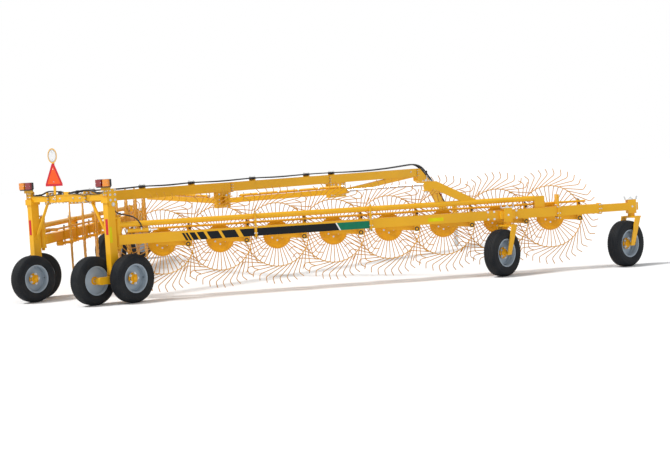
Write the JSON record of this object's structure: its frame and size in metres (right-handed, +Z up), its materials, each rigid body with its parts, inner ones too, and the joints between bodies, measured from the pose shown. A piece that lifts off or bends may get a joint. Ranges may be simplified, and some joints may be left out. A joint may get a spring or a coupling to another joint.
{
  "type": "bi-fold wheel rake",
  "caption": "Towed bi-fold hay rake: a spine on tandem road wheels, with two swinging arms on casters that carry rows of tined finger wheels set in a V.",
  "frame": {"origin": "on the ground under the middle of the bounding box", "axes": "+X forward along the spine to the hitch, +Y to the left, +Z up"},
  "size_m": [9.8778, 11.2202, 2.173],
  "materials": {
    "paint_yellow": "gloss paint",
    "tine_orange": "gloss paint",
    "tyre": "matt",
    "rim_grey": "satin paint",
    "zinc": "plated",
    "chrome_rod": "polished",
    "lamp_red": "gloss",
    "lamp_amber": "gloss",
    "triangle_orange": "matt",
    "sign_white": "matt"
  },
  "bodies": {
    "frame": {"spine": "paint_yellow", "crossbeam": "paint_yellow", "upright_right": "paint_yellow", "upright_left": "paint_yellow", "walking_beam_right": "paint_yellow", "walking_beam_left": "paint_yellow", "drawbar": "paint_yellow", "lamps_red": "lamp_red", "lamps_amber": "lamp_amber", "sign_brackets": "paint_yellow", "triangle": "triangle_orange", "round_sign": "sign_white"},
    "jack": {"jack_leg": "zinc"},
    "wheel_rear_right": {"tyre_rear_right": "tyre", "rim_rear_right": "rim_grey"},
    "wheel_front_right": {"tyre_front_right": "tyre", "rim_front_right": "rim_grey"},
    "arm_right": {"arm_right": "paint_yellow", "lift_gear_right": "paint_yellow"},
    "caster_rear_right": {"fork_rear_right": "paint_yellow"},
    "wheel_caster_rear_right": {"tyre_caster_rear_right": "tyre", "rim_caster_rear_right": "rim_grey"},
    "caster_front_right": {"fork_front_right": "paint_yellow"},
    "wheel_caster_front_right": {"tyre_caster_front_right": "tyre", "rim_caster_front_right": "rim_grey"},
    "finger_1_right": {"finger_wheel_1_right": "tine_orange"},
    "finger_2_right": {"finger_wheel_2_right": "tine_orange"},
    "finger_3_right": {"finger_wheel_3_right": "tine_orange"},
    "finger_4_right": {"finger_wheel_4_right": "tine_orange"},
    "finger_5_right": {"finger_wheel_5_right": "tine_orange"},
    "finger_6_right": {"finger_wheel_6_right": "tine_orange"},
    "finger_7_right": {"finger_wheel_7_right": "tine_orange"},
    "finger_8_right": {"finger_wheel_8_right": "tine_orange"},
    "strut_right": {"strut_tube_right": "paint_yellow"},
    "strut_rod_right": {"strut_rod_right": "chrome_rod"},
    "wheel_rear_left": {"tyre_rear_left": "tyre", "rim_rear_left": "rim_grey"},
    "wheel_front_left": {"tyre_front_left": "tyre", "rim_front_left": "rim_grey"},
    "arm_left": {"arm_left": "paint_yellow", "lift_gear_left": "paint_yellow"},
    "caster_rear_left": {"fork_rear_left": "paint_yellow"},
    "wheel_caster_rear_left": {"tyre_caster_rear_left": "tyre", "rim_caster_rear_left": "rim_grey"},
    "caster_front_left": {"fork_front_left": "paint_yellow"},
    "wheel_caster_front_left": {"tyre_caster_front_left": "tyre", "rim_caster_front_left": "rim_grey"},
    "finger_1_left": {"finger_wheel_1_left": "tine_orange"},
    "finger_2_left": {"finger_wheel_2_left": "tine_orange"},
    "finger_3_left": {"finger_wheel_3_left": "tine_orange"},
    "finger_4_left": {"finger_wheel_4_left": "tine_orange"},
    "finger_5_left": {"finger_wheel_5_left": "tine_orange"},
    "finger_6_left": {"finger_wheel_6_left": "tine_orange"},
    "finger_7_left": {"finger_wheel_7_left": "tine_orange"},
    "finger_8_left": {"finger_wheel_8_left": "tine_orange"},
    "strut_left": {"strut_tube_left": "paint_yellow"},
    "strut_rod_left": {"strut_rod_left": "chrome_rod"}
  },
  "joints": [
    {"name": "jack_extend", "type": "slide", "parent": "frame", "child": "jack", "axis": [0, 0, 1], "range_m": [0, 0.3]},
    {"name": "wheel_rear_right_spin", "type": "hinge", "parent": "frame", "child": "wheel_rear_right", "pos_m": [-4.604, -0.679, 0.335], "axis": [0, 1, 0], "continuous": true},
    {"name": "wheel_front_right_spin", "type": "hinge", "parent": "frame", "child": "wheel_front_right", "pos_m": [-4.218, -1.041, 0.335], "axis": [0, 1, 0], "continuous": true},
    {"name": "arm_right_swing", "type": "hinge", "parent": "frame", "child": "arm_right", "pos_m": [-4.261, -0.86, 0.9], "axis": [0, 0, 1], "range_deg": [0, 20]},
    {"name": "caster_rear_right_swivel", "type": "hinge", "parent": "arm_right", "child": "caster_rear_right", "pos_m": [-0.03808, -4.37495, 0.75], "axis": [0, 0, 1], "range_deg": [-50, 145]},
    {"name": "wheel_caster_rear_right_spin", "type": "hinge", "parent": "caster_rear_right", "child": "wheel_caster_rear_right", "pos_m": [-0.19786, -4.36658, 0.335], "axis": [0.0523, 0.9986, 0], "continuous": true},
    {"name": "caster_front_right_swivel", "type": "hinge", "parent": "arm_right", "child": "caster_front_right", "pos_m": [1.54047, -5.4747, 0.75], "axis": [0, 0, 1], "continuous": true},
    {"name": "wheel_caster_front_right_spin", "type": "hinge", "parent": "caster_front_right", "child": "wheel_caster_front_right", "pos_m": [1.38203, -5.45243, 0.335], "axis": [0.1392, 0.9903, 0], "continuous": true},
    {"name": "finger_1_right_spin", "type": "hinge", "parent": "arm_right", "child": "finger_1_right", "pos_m": [-3.62711, -1.0205, 0.78], "axis": [0.8039, 0.5948, 0], "continuous": true},
    {"name": "finger_2_right_spin", "type": "hinge", "parent": "arm_right", "child": "finger_2_right", "pos_m": [-2.9932, -1.52473, 0.78], "axis": [0.8039, 0.5948, 0], "continuous": true},
    {"name": "finger_3_right_spin", "type": "hinge", "parent": "arm_right", "child": "finger_3_right", "pos_m": [-2.35928, -2.02897, 0.78], "axis": [0.8039, 0.5948, 0], "continuous": true},
    {"name": "finger_4_right_spin", "type": "hinge", "parent": "arm_right", "child": "finger_4_right", "pos_m": [-1.72537, -2.53321, 0.78], "axis": [0.8039, 0.5948, 0], "continuous": true},
    {"name": "finger_5_right_spin", "type": "hinge", "parent": "arm_right", "child": "finger_5_right", "pos_m": [-1.09146, -3.03744, 0.78], "axis": [0.8039, 0.5948, 0], "continuous": true},
    {"name": "finger_6_right_spin", "type": "hinge", "parent": "arm_right", "child": "finger_6_right", "pos_m": [-0.45755, -3.54168, 0.78], "axis": [0.8039, 0.5948, 0], "continuous": true},
    {"name": "finger_7_right_spin", "type": "hinge", "parent": "arm_right", "child": "finger_7_right", "pos_m": [0.17637, -4.04592, 0.78], "axis": [0.8039, 0.5948, 0], "continuous": true},
    {"name": "finger_8_right_spin", "type": "hinge", "parent": "arm_right", "child": "finger_8_right", "pos_m": [0.81028, -4.55016, 0.78], "axis": [0.8039, 0.5948, 0], "continuous": true},
    {"name": "strut_right_yaw", "type": "hinge", "parent": "frame", "child": "strut_right", "pos_m": [-1.451, -0.1, 1.24], "axis": [0, 0, 1], "range_deg": [-1, 24.2]},
    {"name": "strut_rod_right_slide", "type": "slide", "parent": "strut_right", "child": "strut_rod_right", "axis": [0.1955, -0.98, 0.0359], "range_m": [-1.0134, 0.01]},
    {"name": "wheel_rear_left_spin", "type": "hinge", "parent": "frame", "child": "wheel_rear_left", "pos_m": [-4.604, 0.679, 0.335], "axis": [0, 1, 0], "continuous": true},
    {"name": "wheel_front_left_spin", "type": "hinge", "parent": "frame", "child": "wheel_front_left", "pos_m": [-4.218, 1.041, 0.335], "axis": [0, 1, 0], "continuous": true},
    {"name": "arm_left_swing", "type": "hinge", "parent": "frame", "child": "arm_left", "pos_m": [-4.261, 0.86, 0.9], "axis": [0, 0, -1], "range_deg": [0, 20]},
    {"name": "caster_rear_left_swivel", "type": "hinge", "parent": "arm_left", "child": "caster_rear_left", "pos_m": [-0.03808, 4.37495, 0.75], "axis": [0, 0, -1], "range_deg": [-50, 145]},
    {"name": "wheel_caster_rear_left_spin", "type": "hinge", "parent": "caster_rear_left", "child": "wheel_caster_rear_left", "pos_m": [-0.19786, 4.36658, 0.335], "axis": [-0.0523, 0.9986, 0], "continuous": true},
    {"name": "caster_front_left_swivel", "type": "hinge", "parent": "arm_left", "child": "caster_front_left", "pos_m": [1.54047, 5.4747, 0.75], "axis": [0, 0, -1], "continuous": true},
    {"name": "wheel_caster_front_left_spin", "type": "hinge", "parent": "caster_front_left", "child": "wheel_caster_front_left", "pos_m": [1.38203, 5.45243, 0.335], "axis": [-0.1392, 0.9903, 0], "continuous": true},
    {"name": "finger_1_left_spin", "type": "hinge", "parent": "arm_left", "child": "finger_1_left", "pos_m": [-3.62711, 1.0205, 0.78], "axis": [0.8039, -0.5948, 0], "continuous": true},
    {"name": "finger_2_left_spin", "type": "hinge", "parent": "arm_left", "child": "finger_2_left", "pos_m": [-2.9932, 1.52473, 0.78], "axis": [0.8039, -0.5948, 0], "continuous": true},
    {"name": "finger_3_left_spin", "type": "hinge", "parent": "arm_left", "child": "finger_3_left", "pos_m": [-2.35928, 2.02897, 0.78], "axis": [0.8039, -0.5948, 0], "continuous": true},
    {"name": "finger_4_left_spin", "type": "hinge", "parent": "arm_left", "child": "finger_4_left", "pos_m": [-1.72537, 2.53321, 0.78], "axis": [0.8039, -0.5948, 0], "continuous": true},
    {"name": "finger_5_left_spin", "type": "hinge", "parent": "arm_left", "child": "finger_5_left", "pos_m": [-1.09146, 3.03744, 0.78], "axis": [0.8039, -0.5948, 0], "continuous": true},
    {"name": "finger_6_left_spin", "type": "hinge", "parent": "arm_left", "child": "finger_6_left", "pos_m": [-0.45755, 3.54168, 0.78], "axis": [0.8039, -0.5948, 0], "continuous": true},
    {"name": "finger_7_left_spin", "type": "hinge", "parent": "arm_left", "child": "finger_7_left", "pos_m": [0.17637, 4.04592, 0.78], "axis": [0.8039, -0.5948, 0], "continuous": true},
    {"name": "finger_8_left_spin", "type": "hinge", "parent": "arm_left", "child": "finger_8_left", "pos_m": [0.81028, 4.55016, 0.78], "axis": [0.8039, -0.5948, 0], "continuous": true},
    {"name": "strut_left_yaw", "type": "hinge", "parent": "frame", "child": "strut_left", "pos_m": [-1.451, 0.1, 1.24], "axis": [0, 0, -1], "range_deg": [-1, 24.2]},
    {"name": "strut_rod_left_slide", "type": "slide", "parent": "strut_left", "child": "strut_rod_left", "axis": [0.1955, 0.98, 0.0359], "range_m": [-1.0134, 0.01]}
  ],
  "couplings": [
    {"joint": "strut_right_yaw", "follows": "arm_right_swing", "ratio": 1.16},
    {"joint": "strut_rod_right_slide", "follows": "arm_right_swing", "m_per_rad": -2.8746},
    {"joint": "strut_left_yaw", "follows": "arm_left_swing", "ratio": 1.16},
    {"joint": "strut_rod_left_slide", "follows": "arm_left_swing", "m_per_rad": -2.8746}
  ]
}
